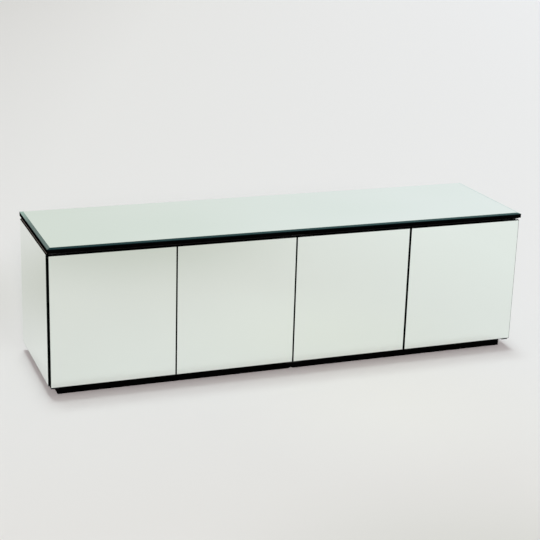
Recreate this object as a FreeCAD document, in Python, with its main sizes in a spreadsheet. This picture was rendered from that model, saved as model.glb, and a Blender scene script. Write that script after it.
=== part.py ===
"""Mirror-clad four-door sideboard.

Millimetres, +Z up, front towards -Y, origin on the floor under the middle of the top.
"""
import FreeCAD
import Part
import Sketcher
import os
import re
from collections import namedtuple
from FreeCAD import Placement, Rotation, Vector

# Driving sizes: sheet name, millimetres, what it measures.
SIZES = [
    ("top_width", 1830.0, "top, left to right"),
    ("top_depth", 500.0, "top, front to back"),
    ("top_board_thickness", 12.0, "black board under the top mirror"),
    ("top_mirror_thickness", 6.0, "top mirror"),
    ("top_bevel_width", 12.0, "ground bevel of the top mirror, across"),
    ("top_bevel_drop", 3.0, "ground bevel of the top mirror, down"),
    ("top_side_overhang", 1.0, "top beyond the end mirrors"),
    ("top_front_overhang", 10.0, "top in front of the doors"),
    ("top_back_overhang", 2.0, "top behind the carcase"),
    ("carcase_height", 496.0, "carcase without plinth and top"),
    ("board_thickness", 19.0, "carcase boards"),
    ("mirror_thickness", 4.0, "door and end mirrors"),
    ("mirror_arris", 0.6, "ground arris of the door and end mirrors"),
    ("end_mirror_reveal", 11.5, "top board to the end mirrors"),
    ("back_panel_thickness", 5.0, "back panel"),
    ("back_rebate_width", 9.0, "rebate for the back panel in each end"),
    ("back_panel_clearance", 0.5, "back panel to the side of its rebate"),
    ("plinth_height", 35.0, "plinth with its glides"),
    ("plinth_set_back", 24.0, "plinth behind the faces of the doors"),
    ("plinth_end_set_back", 28.5, "plinth inside the outside of the end boards"),
    ("plinth_back_set_back", 40.0, "plinth in front of the carcase back"),
    ("plinth_rail_thickness", 18.0, "plinth rails"),
    ("glide_height", 2.0, "glide under the plinth"),
    ("glide_radius", 8.0, "glide where it meets the rail"),
    ("glide_foot_radius", 6.5, "glide on the floor"),
    ("glide_inset", 14.0, "outer glides from the ends of the rails"),
    ("glide_middle", 70.0, "inner glides from the middle of the plinth"),
    ("rail_nick_length", 8.5, "eased lower corner where the front rails butt, along"),
    ("rail_nick_height", 3.5, "eased lower corner where the front rails butt, up"),
    ("door_board_thickness", 16.0, "door board behind its mirror"),
    ("door_stand_off", 4.0, "closed door to the carcase"),
    ("door_top_reveal", 11.5, "top board to the doors"),
    ("door_bottom_gap", 1.0, "doors to the bottom pivot plates"),
    ("left_pair_gap", 3.0, "between the left pair of doors"),
    ("middle_gap", 3.5, "between the two middle doors"),
    ("right_pair_gap", 6.0, "between the right pair of doors"),
    ("right_door_lap", 4.0, "right door past the right end board"),
    ("outer_door_extra", 6.0, "outer doors wider than the inner ones"),
    ("middle_gap_offset", 2.5, "middle gap left of the middle of the top"),
    ("door_back_bevel", 6.0, "bevelled back arris on the hinge side of a door"),
    ("pivot_inset", 14.0, "pivot from the hinge edge of a door"),
    ("pivot_set_back", 7.5, "pivot behind the face of a door"),
    ("pivot_pin_radius", 2.0, "pivot pin"),
    ("pivot_pin_reach", 5.0, "pivot pin past the edge of a door"),
    ("pivot_fit", 0.05, "radial clearance of pin and leaf"),
    ("pivot_bore_clearance", 0.5, "clearance of the bore in the board round and past the pin"),
    ("pivot_plate_thickness", 3.0, "fixed pivot plates"),
    ("pivot_plate_margin", 2.0, "end pivot plates from the outside of the end boards"),
    ("pivot_plate_plinth_gap", 1.5, "end pivot plates to the plinth"),
    ("pivot_plate_front_gap", 1.5, "bottom pivot plates behind the face of a door"),
    ("pivot_plate_reach", 13.0, "top pivot plates in front of and behind the pin"),
    ("pivot_plate_wing", 9.0, "middle pivot plates beside the pins"),
    ("pivot_plate_brace_gap", 1.0, "bottom pivot plates to the brace behind the plinth front"),
    ("pivot_notch_clearance", 0.1, "middle pivot plate in the notch of the plinth"),
    ("leaf_length", 60.0, "hinge leaf along the door edge"),
    ("leaf_width", 12.0, "hinge leaf across the door edge"),
    ("leaf_thickness", 3.0, "hinge leaf"),
    ("leaf_end_margin", 4.0, "hinge leaf from the hinge edge"),
    ("leaf_front_margin", 0.5, "hinge leaf behind the front of the board"),
    ("leaf_clearance", 0.1, "hinge leaf in its mortise"),
    ("washer_radius", 5.0, "washer under a door"),
    ("latch_edge_distance", 45.0, "latch from the free edge of a door"),
    ("latch_width", 16.0, "latch housing across"),
    ("latch_height", 14.0, "latch housing"),
    ("latch_set_back", 1.0, "latch housing behind the carcase front"),
    ("latch_ear_width", 10.0, "screw ears of the latch housing"),
    ("latch_ear_length", 24.0, "screw ears front to back"),
    ("latch_ear_thickness", 3.0, "screw ears"),
    ("latch_spring_room", 8.0, "bore behind the plunger when pushed in"),
    ("latch_end_wall", 12.0, "latch housing behind the bore"),
    ("plunger_radius", 4.0, "latch plunger"),
    ("plunger_length", 30.0, "latch plunger"),
    ("plunger_travel", 3.0, "how far the plunger is pushed in"),
    ("plunger_fit", 0.1, "radial clearance of the plunger"),
    ("plunger_strike_gap", 0.3, "plunger to the strike of a closed door"),
    ("strike_width", 14.0, "strike plate across"),
    ("strike_height", 28.0, "strike plate"),
    ("strike_thickness", 1.5, "strike plate"),
    ("strike_above_plunger", 8.0, "strike plate above the plunger"),
    ("bumper_radius", 3.0, "bumper on the back of a door"),
    ("bumper_inset", 4.0, "bumper from the top and bottom of a door"),
    ("bumper_edge_distance", 14.0, "bumper from the free edge of a door"),
    ("bumper_gap", 0.3, "bumper of a closed door to the carcase"),
    ("shelf_thickness", 18.0, "shelf"),
    ("shelf_rise", 215.0, "under the shelf, above the carcase bottom"),
    ("shelf_set_back", 30.0, "shelf behind the carcase front"),
    ("shelf_side_gap", 1.0, "shelf to the boards beside it"),
    ("shelf_back_gap", 3.0, "shelf to the back panel"),
    ("pin_radius", 2.5, "shelf pin"),
    ("pin_depth", 7.5, "shelf pin in the board"),
    ("pin_projection", 9.0, "shelf pin out of the board"),
    ("pin_fit", 0.05, "shelf pin in its hole"),
    ("pin_hole_room", 0.5, "hole past the end of the pin"),
    ("pin_column_inset", 70.0, "shelf pins from the carcase front and the back panel"),
    ("tongue_thickness", 4.0, "loose tongue in a carcase joint"),
    ("tongue_depth", 12.0, "loose tongue in each of its boards"),
    ("tongue_inset", 40.0, "loose tongue from the carcase front and the back panel"),
    ("tongue_room", 0.5, "groove past the edges and ends of a tongue"),
]

# Positions and sizes that follow from the driving sizes.
LAYOUT = [
    ("row_half", "top_width / 2 - top_side_overhang - mirror_thickness"),
    ("end_inner", "row_half - board_thickness"),
    ("end_mirror_height", "carcase_height - end_mirror_reveal"),
    ("partition_half", "board_thickness / 2"),
    ("top_front", "-top_depth / 2"),
    ("top_back", "top_depth / 2"),
    ("door_front", "top_front + top_front_overhang"),
    ("door_board_front", "door_front + mirror_thickness"),
    ("door_back", "door_board_front + door_board_thickness"),
    ("carcase_front", "door_back + door_stand_off"),
    ("carcase_back", "top_back - top_back_overhang"),
    ("panel_front", "carcase_back - back_panel_thickness"),
    ("carcase_base", "plinth_height"),
    ("carcase_crown", "plinth_height + carcase_height"),
    ("inside_floor", "carcase_base + board_thickness"),
    ("inside_ceiling", "carcase_crown - board_thickness"),
    ("door_bottom", "carcase_base + door_bottom_gap"),
    ("door_top", "carcase_crown - door_top_reveal"),
    ("door_height", "door_top - door_bottom"),
    ("edge_1", "-row_half"),
    ("edge_2", "-middle_gap_offset - middle_gap / 2"),
    ("edge_3", "edge_2 + middle_gap"),
    ("edge_4", "row_half + right_door_lap"),
    ("width_1", "(edge_2 - edge_1 - left_pair_gap + outer_door_extra) / 2"),
    ("width_2", "width_1 - outer_door_extra"),
    ("width_4", "(edge_4 - edge_3 - right_pair_gap + outer_door_extra) / 2"),
    ("width_3", "width_4 - outer_door_extra"),
    ("pivot_line", "door_front + pivot_set_back"),
    ("pivot_2", "edge_2 - pivot_inset"),
    ("pivot_3", "edge_3 + pivot_inset"),
    ("pivot_plate_width", "plinth_end_set_back - pivot_plate_margin - pivot_plate_plinth_gap"),
    ("plinth_half", "row_half - plinth_end_set_back"),
    ("plinth_front", "door_front + plinth_set_back"),
    ("plinth_back", "carcase_back - plinth_back_set_back"),
    ("brace_front", "plinth_front + plinth_rail_thickness"),
    ("rail_height", "plinth_height - glide_height"),
    ("latch_line", "inside_ceiling - latch_height / 2"),
    ("plunger_front", "door_back + strike_thickness + plunger_strike_gap"),
    ("latch_front", "carcase_front + latch_set_back"),
    ("latch_bore_end", "plunger_front + plunger_length + plunger_travel + latch_spring_room"),
    ("latch_length", "latch_bore_end + latch_end_wall - latch_front"),
    ("shelf_base", "inside_floor + shelf_rise"),
    ("pin_line", "shelf_base - pin_radius"),
]

UP = Vector(0, 0, 1)
DOWN = Vector(0, 0, -1)
BACKWARD = Vector(0, 1, 0)
FORWARD = Vector(0, -1, 0)
RIGHT = Vector(1, 0, 0)
LEFT = Vector(-1, 0, 0)
UPRIGHT = Rotation(RIGHT, 90)

Door = namedtuple("Door", "number edge width hand")
DOORS = [
    Door(1, "edge_1", "width_1", 1),
    Door(2, "edge_2", "width_2", -1),
    Door(3, "edge_3", "width_3", 1),
    Door(4, "edge_4", "width_4", -1),
]

SIZE_NAMES = {name for name, number, note in SIZES}
LAYOUT_NAMES = {name for name, formula in LAYOUT}

doc = FreeCAD.newDocument("sideboard")
dims = doc.addObject("Spreadsheet::Sheet", "dims")
layout = doc.addObject("Spreadsheet::Sheet", "layout")
sub_parts = []
holes = {}


# Sheets and expressions

def linked(text, home=""):
    """The text with the sheet in front of each name that isn't in the home sheet."""
    def with_sheet(match):
        name = match.group(0)
        sheet = "dims" if name in SIZE_NAMES else "layout" if name in LAYOUT_NAMES else home
        return name if sheet == home else f"{sheet}.{name}"
    return re.sub(r"[a-z_]+[a-z_0-9]*", with_sheet, str(text))


def fill_sheets():
    """Writes the driving sizes and what follows from them."""
    for row, (name, number, note) in enumerate(SIZES, start=1):
        dims.set(f"A{row}", note)
        dims.set(f"B{row}", str(number))
        dims.setAlias(f"B{row}", name)
    for row, (name, formula) in enumerate(LAYOUT, start=1):
        layout.setAlias(f"B{row}", name)
        layout.set(f"A{row}", name)
        layout.set(f"B{row}", "=" + linked(formula, "layout"))
    doc.recompute()


def value(text):
    """The number that an expression of sheet names has."""
    result = dims.evalExpression(linked(text))
    return float(getattr(result, "Value", result))


def bind(item, **sizes):
    """Binds properties of an object to expressions."""
    for name, text in sizes.items():
        item.setExpression(name, linked(text))


def place(item, x, y, z):
    """Binds where an object stands."""
    for axis, text in zip("xyz", (x, y, z)):
        item.setExpression(f"Placement.Base.{axis}", linked(text))


def sub_part(item, label):
    """Names an object as a finished sub-part."""
    item.Label = label
    sub_parts.append(item)
    return item


# Solids

def box(label, x, y, z, length, width, height):
    """Box from its lowest corner."""
    item = doc.addObject("Part::Box", label)
    bind(item, Length=length, Width=width, Height=height)
    place(item, x, y, z)
    return item


def rod(label, x, y, z, radius, length, direction=UP, tip=None):
    """Round bar, or a tapered one where a tip radius is given."""
    item = doc.addObject("Part::Cone" if tip else "Part::Cylinder", label)
    item.Placement = Placement(Vector(), Rotation(UP, direction))
    if tip:
        bind(item, Radius1=radius, Radius2=tip, Height=length)
    else:
        bind(item, Radius=radius, Height=length)
    place(item, x, y, z)
    return item


def draw(body, points):
    """Sketch of a closed outline, each corner bound to its expressions."""
    sketch = body.newObject("Sketcher::SketchObject", f"{body.Name}_outline")
    plane = next(item for item in body.Origin.OriginFeatures if item.Role == "XY_Plane")
    sketch.AttachmentSupport = [(plane, "")]
    sketch.MapMode = "FlatFace"
    corners = [Vector(value(x), value(y), 0) for x, y in points]
    following = corners[1:] + corners[:1]
    for start, end in zip(corners, following):
        sketch.addGeometry(Part.LineSegment(start, end), False)
    for side in range(len(points)):
        sketch.addConstraint(Sketcher.Constraint("Coincident", side, 2, (side + 1) % len(points), 1))
    for side, (x, y) in enumerate(points):
        for kind, text in (("DistanceX", x), ("DistanceY", y)):
            index = sketch.addConstraint(Sketcher.Constraint(kind, -1, 1, side, 1, value(text)))
            sketch.setExpression(f"Constraints[{index}]", linked(text))
    return sketch


def prism(label, points, height, x, y, z, turn=Rotation()):
    """Padded outline."""
    body = doc.addObject("PartDesign::Body", label)
    pad = body.newObject("PartDesign::Pad", f"{label}_pad")
    pad.Profile = draw(body, points)
    bind(pad, Length=height)
    body.Placement = Placement(Vector(), turn)
    place(body, x, y, z)
    return body


def ground(body, normal, down, across):
    """Grinds the edges round the face of a body that looks along a direction."""
    doc.recompute()
    pad = body.Tip
    number = next(
        count for count, face in enumerate(pad.Shape.Faces, start=1)
        if face.normalAt(0, 0).isEqual(normal, 1e-6)
    )
    bevel = body.newObject("PartDesign::Chamfer", f"{body.Name}_bevel")
    bevel.Base = (pad, [f"Face{number}"])
    bevel.ChamferType = "Two distances"
    bind(bevel, Size=down, Size2=across)
    return body


def joined(label, items):
    """Several objects fused to one solid."""
    item = doc.addObject("Part::MultiFuse", label)
    item.Shapes = items
    item.Refine = True
    return item


def group(label, items):
    """Several separate solids under one name."""
    item = doc.addObject("Part::Compound", label)
    item.Links = items
    return item


def bore(labels, x, y, z, radius, depth, direction):
    """Asks for a round hole in each labelled piece."""
    cutter = rod("bore", x, y, z, radius, depth, direction)
    for label in labels:
        holes.setdefault(label, []).append(cutter)


def slot(labels, x, y, z, length, width, height):
    """Asks for a square recess in each labelled piece."""
    cutter = box("slot", x, y, z, length, width, height)
    for label in labels:
        holes.setdefault(label, []).append(cutter)


def drilled(item, label):
    """The object with the holes that were asked for under a label cut out."""
    if label not in holes:
        return item
    cut = doc.addObject("Part::Cut", f"{label}_cut")
    cut.Base = item
    cut.Tool = joined(f"{label}_holes", holes[label]) if len(holes[label]) > 1 else holes[label][0]
    return cut


def board(label, x, y, z, length, width, height):
    """Flat board with its holes, as a finished sub-part."""
    return sub_part(drilled(box(f"{label}_blank", x, y, z, length, width, height), label), label)


# Joinery

def tongues():
    """Loose tongues that join the carcase boards, and their grooves."""
    front = "carcase_front + tongue_inset"
    length = f"panel_front - tongue_inset - ({front})"
    flat = ("2 * tongue_depth", "tongue_thickness", "tongue_room", "0")
    upright = ("tongue_thickness", "2 * tongue_depth", "0", "tongue_room")
    sites = []
    for level, height in (("carcase_bottom", "carcase_base + board_thickness / 2"),
                          ("carcase_top", "carcase_crown - board_thickness / 2")):
        sites.append((("left_end_board", level), "-end_inner", height, flat))
        sites.append((("right_end_board", level), "end_inner", height, flat))
    sites.append((("carcase_bottom", "centre_partition"), "0", "inside_floor", upright))
    sites.append((("carcase_top", "centre_partition"), "0", "inside_ceiling", upright))
    strips = []
    for labels, x, z, (across, rise, room_x, room_z) in sites:
        low_x, low_z = f"{x} - {across} / 2", f"{z} - {rise} / 2"
        strips.append(box(f"tongue_{len(strips) + 1}", low_x, front, low_z, across, length, rise))
        slot(labels, f"{low_x} - {room_x}", f"{front} - tongue_room", f"{low_z} - {room_z}",
             f"{across} + 2 * {room_x}", f"{length} + 2 * tongue_room", f"{rise} + 2 * {room_z}")
    sub_part(group("carcase_tongues_group", strips), "carcase_tongues")


def shelf_supports():
    """Shelf pins and the holes that they stand in."""
    pins = []
    sides = (("left_end_board", "-end_inner", RIGHT), ("centre_partition", "-partition_half", LEFT),
             ("centre_partition", "partition_half", RIGHT), ("right_end_board", "end_inner", LEFT))
    for label, face, inward in sides:
        start = f"{face} - {int(inward.x)} * pin_depth"
        for column in ("carcase_front + pin_column_inset", "panel_front - pin_column_inset"):
            pins.append(rod(f"shelf_pin_{len(pins) + 1}", start, column, "pin_line",
                            "pin_radius", "pin_depth + pin_projection", inward))
            bore((label,), face, column, "pin_line",
                 "pin_radius + pin_fit", "pin_depth + pin_hole_room", inward * -1)
    sub_part(group("shelf_pins_group", pins), "shelf_pins")


# Sub-assemblies

def top():
    """Top board and the bevelled mirror on it."""
    board("top_board", "-top_width / 2", "top_front", "carcase_crown",
          "top_width", "top_depth", "top_board_thickness")
    outline = [("0", "0"), ("top_width", "0"), ("top_width", "top_depth"), ("0", "top_depth")]
    mirror = prism("top_mirror", outline, "top_mirror_thickness",
                   "-top_width / 2", "top_front", "carcase_crown + top_board_thickness")
    sub_part(ground(mirror, UP, "top_bevel_drop", "top_bevel_width"), "top_mirror")


def carcase_end(side, hand):
    """End board with the rebate for the back panel, and the mirror on its outside."""
    label = f"{side}_end_board"
    inner = f"{hand} * board_thickness"
    rebate = f"{hand} * (board_thickness - back_rebate_width)"
    outline = [
        ("0", "0"), (inner, "0"), (inner, "panel_front - carcase_front"),
        (rebate, "panel_front - carcase_front"), (rebate, "carcase_back - carcase_front"),
        ("0", "carcase_back - carcase_front"),
    ]
    outside = f"-{hand} * row_half"
    blank = prism(f"{label}_blank", outline, "carcase_height", outside, "carcase_front", "carcase_base")
    sub_part(drilled(blank, label), label)
    glass = f"-{hand} * mirror_thickness"
    face = [("0", "0"), (glass, "0"), (glass, "carcase_back - carcase_front"),
            ("0", "carcase_back - carcase_front")]
    label = f"{side}_end_mirror"
    mirror = prism(label, face, "end_mirror_height", outside, "carcase_front", "carcase_base")
    sub_part(ground(mirror, LEFT * hand, "mirror_arris", "mirror_arris"), label)


def carcase():
    """Boards of the carcase."""
    carcase_end("left", 1)
    carcase_end("right", -1)
    depth = "panel_front - carcase_front"
    board("carcase_bottom", "-end_inner", "carcase_front", "carcase_base",
          "2 * end_inner", depth, "board_thickness")
    board("carcase_top", "-end_inner", "carcase_front", "inside_ceiling",
          "2 * end_inner", depth, "board_thickness")
    board("centre_partition", "-partition_half", "carcase_front", "inside_floor",
          "board_thickness", depth, "inside_ceiling - inside_floor")
    half = "(end_inner + back_rebate_width - back_panel_clearance)"
    board("back_panel", f"-{half}", "panel_front", "carcase_base",
          f"2 * {half}", "back_panel_thickness", "carcase_height")


def shelves():
    """One loose shelf in each compartment, on its pins."""
    length = "end_inner - partition_half - 2 * shelf_side_gap"
    front = "carcase_front + shelf_set_back"
    depth = f"panel_front - shelf_back_gap - ({front})"
    board("left_shelf", "shelf_side_gap - end_inner", front, "shelf_base", length, depth, "shelf_thickness")
    board("right_shelf", "partition_half + shelf_side_gap", front, "shelf_base",
          length, depth, "shelf_thickness")


def plinth():
    """Rails, brace and glides of the plinth."""
    notch_depth = "pivot_plate_thickness + pivot_notch_clearance"
    for side, hand, plate_end in (("left", -1, "pivot_plate_wing - pivot_2"),
                                  ("right", 1, "pivot_plate_wing + pivot_3")):
        notch = f"{hand} * ({plate_end} + pivot_notch_clearance)"
        outline = [
            (f"{hand} * rail_nick_length", "0"), (f"{hand} * plinth_half", "0"),
            (f"{hand} * plinth_half", "rail_height"), (notch, "rail_height"),
            (notch, f"rail_height - ({notch_depth})"), ("0", f"rail_height - ({notch_depth})"),
            ("0", "rail_nick_height"),
        ]
        label = f"plinth_front_{side}"
        rail = prism(label, outline, "plinth_rail_thickness", "0", "brace_front", "glide_height", UPRIGHT)
        sub_part(rail, label)
    board("plinth_back_rail", "-plinth_half", "plinth_back - plinth_rail_thickness", "glide_height",
          "2 * plinth_half", "plinth_rail_thickness", "rail_height")
    inside = "plinth_back - plinth_rail_thickness - brace_front"
    for label, x in (("plinth_left_rail", "-plinth_half"),
                     ("plinth_centre_brace", "-plinth_rail_thickness / 2"),
                     ("plinth_right_rail", "plinth_half - plinth_rail_thickness")):
        board(label, x, "brace_front", "glide_height", "plinth_rail_thickness", inside, "rail_height")
    glides = []
    for line in ("plinth_front + plinth_rail_thickness / 2", "plinth_back - plinth_rail_thickness / 2"):
        for x in ("glide_inset - plinth_half", "-glide_middle", "glide_middle", "plinth_half - glide_inset"):
            glides.append(rod(f"glide_{len(glides) + 1}", x, line, "0",
                              "glide_foot_radius", "glide_height", UP, "glide_radius"))
    sub_part(group("plinth_glides_group", glides), "plinth_glides")


def spot(door, distance):
    """Expression for the x of a point at a distance from a door's hinge edge."""
    return f"{door.edge} + {door.hand} * ({distance})"


def stretch(door, start, length):
    """Expression for the lowest x of a stretch that starts at a distance from a door's hinge edge."""
    return spot(door, start if door.hand > 0 else f"{start} + {length}")


def pivot_plates(label, doors, start, length):
    """Fixed plates above and below the hinge edge of one door or two, with their pins."""
    pins = [spot(door, "pivot_inset") for door in doors]
    upper_face = "carcase_crown - pivot_plate_thickness"
    tips = "door_top - pivot_pin_reach"
    plate = box(f"{label}_upper_plate", start, "pivot_line - pivot_plate_reach", upper_face,
                length, "2 * pivot_plate_reach", "pivot_plate_thickness")
    studs = [rod(f"{label}_upper_pin", pin, "pivot_line", tips, "pivot_pin_radius",
                 f"{upper_face} + pivot_plate_thickness / 2 - ({tips})") for pin in pins]
    above = joined(f"{label}_upper", [plate, *studs])
    front = "door_front + pivot_plate_front_gap"
    root = "carcase_base - pivot_plate_thickness / 2"
    plate = box(f"{label}_lower_plate", start, front, "carcase_base - pivot_plate_thickness",
                length, f"brace_front - pivot_plate_brace_gap - ({front})", "pivot_plate_thickness")
    studs = [rod(f"{label}_lower_pin", pin, "pivot_line", root, "pivot_pin_radius",
                 f"door_bottom + pivot_pin_reach - ({root})") for pin in pins]
    below = joined(f"{label}_lower", [plate, *studs])
    sub_part(group(f"{label}_group", [above, below]), label)


def washers():
    """Washers that the doors stand and turn on."""
    rings = []
    for door in DOORS:
        label = f"washer_{door.number}"
        pin = spot(door, "pivot_inset")
        bore((label,), pin, "pivot_line", "carcase_base", "pivot_pin_radius + pivot_fit",
             "door_bottom_gap", UP)
        ring = rod(f"{label}_blank", pin, "pivot_line", "carcase_base", "washer_radius", "door_bottom_gap")
        rings.append(drilled(ring, label))
    sub_part(group("pivot_washers_group", rings), "pivot_washers")


def latch(door):
    """Touch latch under the carcase top, behind the free edge of a door."""
    label = f"latch_{door.number}_housing"
    middle = spot(door, f"{door.width} - latch_edge_distance")
    bore((label,), middle, "latch_front", "latch_line", "plunger_radius + plunger_fit",
         "latch_bore_end - latch_front", BACKWARD)
    case = box(f"{label}_case", f"{middle} - latch_width / 2", "latch_front", "inside_ceiling - latch_height",
               "latch_width", "latch_length", "latch_height")
    ears = box(f"{label}_ears", f"{middle} - latch_width / 2 - latch_ear_width",
               "latch_front + (latch_length - latch_ear_length) / 2", "inside_ceiling - latch_ear_thickness",
               "latch_width + 2 * latch_ear_width", "latch_ear_length", "latch_ear_thickness")
    sub_part(drilled(joined(f"{label}_fused", [case, ears]), label), label)
    label = f"latch_{door.number}_plunger"
    plunger = rod(label, middle, "plunger_front", "latch_line", "plunger_radius", "plunger_length", BACKWARD)
    sub_part(plunger, label)


def hinge_leaf(door, label, edge_z, direction):
    """Leaf let into the top or bottom edge of a door, with its pin hole."""
    board_label = f"door_{door.number}_board"
    low = f"{edge_z} - leaf_thickness" if direction.z < 0 else edge_z
    front = "door_board_front + leaf_front_margin"
    recess = "leaf_length + 2 * leaf_clearance"
    slot((board_label,), stretch(door, "leaf_end_margin - leaf_clearance", recess),
         f"{front} - leaf_clearance", low, recess, "leaf_width + 2 * leaf_clearance", "leaf_thickness")
    pin = spot(door, "pivot_inset")
    bore((label,), pin, "pivot_line", edge_z, "pivot_pin_radius + pivot_fit", "leaf_thickness", direction)
    bore((board_label,), pin, "pivot_line", edge_z, "pivot_pin_radius + pivot_bore_clearance",
         "pivot_pin_reach + pivot_bore_clearance", direction)
    blank = box(f"{label}_blank", stretch(door, "leaf_end_margin", "leaf_length"), front, low,
                "leaf_length", "leaf_width", "leaf_thickness")
    return drilled(blank, label)


def door_leaf(door):
    """A door: mirror, board, hinge leaves, strike and bumpers."""
    name = f"door_{door.number}"
    upper = hinge_leaf(door, f"{name}_upper_leaf", "door_top", DOWN)
    lower = hinge_leaf(door, f"{name}_lower_leaf", "door_bottom", UP)
    sub_part(group(f"{name}_leaf_group", [upper, lower]), f"{name}_hinge_leaves")
    width = f"{door.hand} * {door.width}"
    bevel = f"{door.hand} * door_back_bevel"
    outline = [
        ("0", "0"), (width, "0"), (width, "door_board_thickness"), (bevel, "door_board_thickness"),
        ("0", "door_board_thickness - door_back_bevel"),
    ]
    blank = prism(f"{name}_blank", outline, "door_height", door.edge, "door_board_front", "door_bottom")
    sub_part(drilled(blank, f"{name}_board"), f"{name}_board")
    outline = [("0", "0"), (width, "0"), (width, "mirror_thickness"), ("0", "mirror_thickness")]
    mirror = prism(f"{name}_mirror", outline, "door_height", door.edge, "door_front", "door_bottom")
    sub_part(ground(mirror, FORWARD, "mirror_arris", "mirror_arris"), f"{name}_mirror")
    middle = spot(door, f"{door.width} - latch_edge_distance")
    board(f"{name}_strike", f"{middle} - strike_width / 2", "door_back",
          "latch_line + strike_above_plunger - strike_height",
          "strike_width", "strike_thickness", "strike_height")
    pads = [rod(f"{name}_bumper", spot(door, f"{door.width} - bumper_edge_distance"), "door_back", z,
                "bumper_radius", "door_stand_off - bumper_gap", BACKWARD)
            for z in ("door_top - bumper_inset", "door_bottom + bumper_inset")]
    sub_part(group(f"{name}_bumper_group", pads), f"{name}_bumpers")


def write_parts():
    """Checks every object and writes one STEP file for each sub-part."""
    doc.recompute()
    for item in doc.Objects:
        if "Invalid" in item.State or "Error" in item.State:
            raise RuntimeError(f"{item.Label} failed: {item.State}")
    for item in sub_parts:
        if item.Shape.isNull() or not item.Shape.isValid() or not item.Shape.Solids:
            raise RuntimeError(f"{item.Label} has no valid solid")
    os.makedirs("parts", exist_ok=True)
    for item in sub_parts:
        item.Shape.exportStep(f"parts/{item.Label}.step")
    print(f"{len(sub_parts)} sub-parts, {sum(len(item.Shape.Solids) for item in sub_parts)} solids")


fill_sheets()
tongues()
shelf_supports()
top()
carcase()
shelves()
plinth()
pivot_plates("left_pivot_plates", DOORS[:1], "pivot_plate_margin - row_half", "pivot_plate_width")
pivot_plates("middle_pivot_plates", DOORS[1:3], "pivot_2 - pivot_plate_wing",
             "pivot_3 - pivot_2 + 2 * pivot_plate_wing")
pivot_plates("right_pivot_plates", DOORS[3:], "plinth_half + pivot_plate_plinth_gap", "pivot_plate_width")
washers()
for door in DOORS:
    latch(door)
    door_leaf(door)
write_parts()
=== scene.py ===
"""Mirror-clad four-door sideboard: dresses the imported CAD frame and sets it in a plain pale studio.

Lengths are metres in the frame's own axes, and millimetres where a name ends in _mm. X runs along the width,
the doors face -Y and Z is up.
"""

import logging
import math
from dataclasses import dataclass, field
from enum import Enum
from itertools import product
from typing import ClassVar, Iterable, Sequence

import bmesh
import bpy
from bmesh.types import BMEdge, BMesh, BMVert
from bpy.types import Material, Node, NodeSocket, NodeTree, Object
from mathutils import Matrix, Vector

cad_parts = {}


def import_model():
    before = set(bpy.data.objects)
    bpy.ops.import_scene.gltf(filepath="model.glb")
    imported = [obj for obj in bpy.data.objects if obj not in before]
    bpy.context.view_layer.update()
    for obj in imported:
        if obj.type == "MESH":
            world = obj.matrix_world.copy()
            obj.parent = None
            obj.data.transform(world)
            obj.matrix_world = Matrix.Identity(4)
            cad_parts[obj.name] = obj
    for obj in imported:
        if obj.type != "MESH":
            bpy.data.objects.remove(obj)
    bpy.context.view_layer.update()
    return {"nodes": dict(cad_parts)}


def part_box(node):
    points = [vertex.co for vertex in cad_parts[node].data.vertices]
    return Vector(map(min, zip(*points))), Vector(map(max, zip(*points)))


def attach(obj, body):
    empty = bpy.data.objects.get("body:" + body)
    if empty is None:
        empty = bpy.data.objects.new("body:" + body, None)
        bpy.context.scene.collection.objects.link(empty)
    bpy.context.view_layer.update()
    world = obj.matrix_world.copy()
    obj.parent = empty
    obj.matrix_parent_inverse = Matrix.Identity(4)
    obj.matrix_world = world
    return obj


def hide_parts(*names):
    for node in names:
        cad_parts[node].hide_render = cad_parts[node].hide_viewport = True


MM = 0.001
Pair = tuple[float, float]
Triple = tuple[float, float, float]
Grid = tuple[tuple[float, ...], tuple[float, ...]]
Hues = tuple[str, str]

# Points nearer to each other than this are one point.
WELD = 1e-7
LEFTWARD = (-1.0, 0.0, 0.0)
RIGHTWARD = (1.0, 0.0, 0.0)
FRONTWARD = (0.0, -1.0, 0.0)
# To the right as the camera sees the floor.
ACROSS_VIEW = (0.934, -0.356, 0.0)
PRIMER = "#78716B"

# The mix node repeats its socket names for each kind of value, so its colour sockets go by number.
COLOURS = {"data_type": "RGBA"}
FACTOR, FIRST, SECOND, MIXED = 0, 6, 7, 2
SOFT_RAMP = {"interpolation_type": "SMOOTHSTEP"}

log = logging.getLogger("sideboard")


class Facing(Enum):
    """The side a pane shows, as the world directions of its width, its height and its outward normal."""

    UP = ((1, 0, 0), (0, 1, 0), (0, 0, 1))
    FRONT = ((1, 0, 0), (0, 0, 1), (0, -1, 0))
    LEFT = ((0, -1, 0), (0, 0, 1), (-1, 0, 0))
    RIGHT = ((0, 1, 0), (0, 0, 1), (1, 0, 0))

    def turn(self) -> Matrix:
        """Return the rotation that lays a pane made flat on XY towards this side."""
        return Matrix(self.value).transposed().to_4x4()


class PanePart(Enum):
    """The surfaces of a pane in the order of its material slots, each as the least upward tilt it has."""

    FACE = 0.999
    SLOPE = 0.1
    EDGE = -0.9
    BACK = -2.0


class Head(Enum):
    """Screw heads as (crown height, rim height) in parts of the head's radius."""

    PAN = (0.48, 0.22)
    COUNTERSUNK = (0.05, 0.0)


class Side(Enum):
    """Which upright edge of a door carries its hinge, as a sign along X."""

    LEFT = -1
    RIGHT = 1


def linear(code: str) -> tuple[float, float, float, float]:
    """Turn an sRGB hex colour into the linear colour that shader sockets take.

    Args:
        code: six hex digits with a leading hash sign.

    Returns:
        Linear red, green, blue and an alpha of one.
    """
    parts = [int(code[i:i + 2], 16) / 255.0 for i in (1, 3, 5)]
    bent = [c / 12.92 if c <= 0.04045 else ((c + 0.055) / 1.055) ** 2.4 for c in parts]
    return bent[0], bent[1], bent[2], 1.0


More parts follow.
